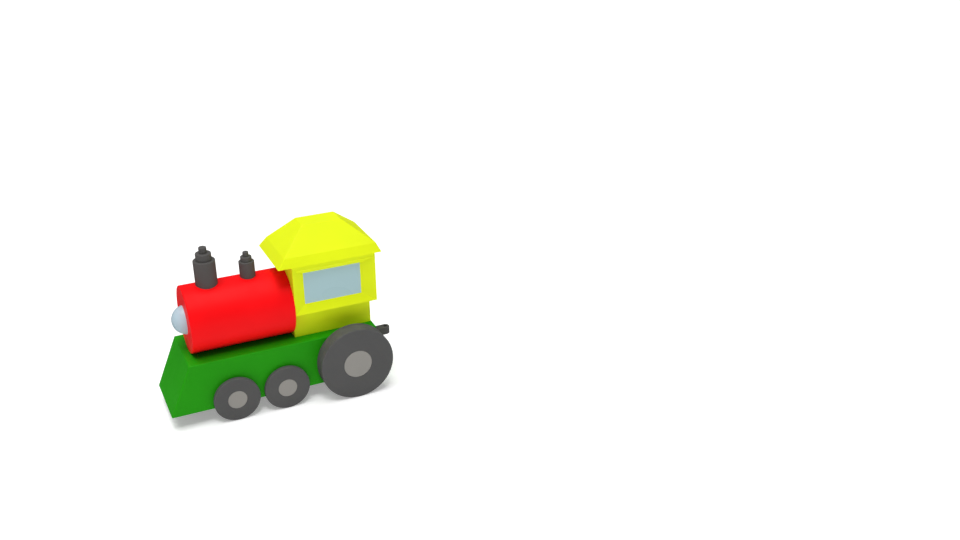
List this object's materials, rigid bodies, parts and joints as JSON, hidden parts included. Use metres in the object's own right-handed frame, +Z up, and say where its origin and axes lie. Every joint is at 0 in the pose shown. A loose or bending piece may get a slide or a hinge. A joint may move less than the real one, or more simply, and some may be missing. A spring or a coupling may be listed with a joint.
{
  "type": "toy train locomotive",
  "caption": "Toy steam locomotive: tub chassis with free-rolling wheelsets, round boiler with lamp and chimney, cab with hipped roof, and a swinging drawbar.",
  "frame": {"origin": "on the ground, below the centre of the overall length and width", "axes": "+X forward towards the nose, +Y to the locomotive's left, +Z up"},
  "size_m": [0.1826, 0.0804, 0.1384],
  "materials": {
    "green_plastic": "moulded, satin gloss",
    "red_plastic": "moulded, satin gloss",
    "yellow_plastic": "moulded, satin gloss",
    "dark_plastic": "moulded, fine matt texture",
    "wheel_plastic": "moulded, fine matt texture",
    "hub_plastic": "moulded, satin",
    "lamp_clear": "tinted, slightly cloudy",
    "window_clear": "tinted, slightly cloudy",
    "steel": "zinc plated"
  },
  "bodies": {
    "chassis": {"chassis_shell": "green_plastic", "chassis_base_plate": "dark_plastic", "base_screws": "steel", "boiler_screws": "steel", "cab_screws": "steel", "boiler_shell": "red_plastic", "boiler_back_plate": "red_plastic", "headlamp_lens": "lamp_clear", "chimney": "dark_plastic", "steam_dome": "dark_plastic", "cab_body": "yellow_plastic", "cab_side_left": "yellow_plastic", "cab_side_right": "yellow_plastic", "window_pane_left": "window_clear", "window_pane_right": "window_clear", "cab_roof": "yellow_plastic", "drawbar_pin": "steel"},
    "front_wheelset": {"front_axle": "steel", "front_wheel_left": "wheel_plastic", "front_wheel_right": "wheel_plastic", "front_hub_cap_left": "hub_plastic", "front_hub_cap_right": "hub_plastic"},
    "middle_wheelset": {"middle_axle": "steel", "middle_wheel_left": "wheel_plastic", "middle_wheel_right": "wheel_plastic", "middle_hub_cap_left": "hub_plastic", "middle_hub_cap_right": "hub_plastic"},
    "rear_wheelset": {"rear_axle": "steel", "rear_wheel_left": "wheel_plastic", "rear_wheel_right": "wheel_plastic", "rear_hub_cap_left": "hub_plastic", "rear_hub_cap_right": "hub_plastic"},
    "drawbar": {"drawbar": "dark_plastic"}
  },
  "joints": [
    {"name": "front_wheels_spin", "type": "hinge", "parent": "chassis", "child": "front_wheelset", "pos_m": [0.0431, 0, 0.0175], "axis": [0, 1, 0], "continuous": true},
    {"name": "middle_wheels_spin", "type": "hinge", "parent": "chassis", "child": "middle_wheelset", "pos_m": [0.0045, 0, 0.0175], "axis": [0, 1, 0], "continuous": true},
    {"name": "rear_wheels_spin", "type": "hinge", "parent": "chassis", "child": "rear_wheelset", "pos_m": [-0.0497, 0, 0.0292], "axis": [0, 1, 0], "continuous": true},
    {"name": "drawbar_swing", "type": "hinge", "parent": "chassis", "child": "drawbar", "pos_m": [-0.062, 0, 0.032], "axis": [0, 0, 1], "range_deg": [-25, 25]}
  ]
}
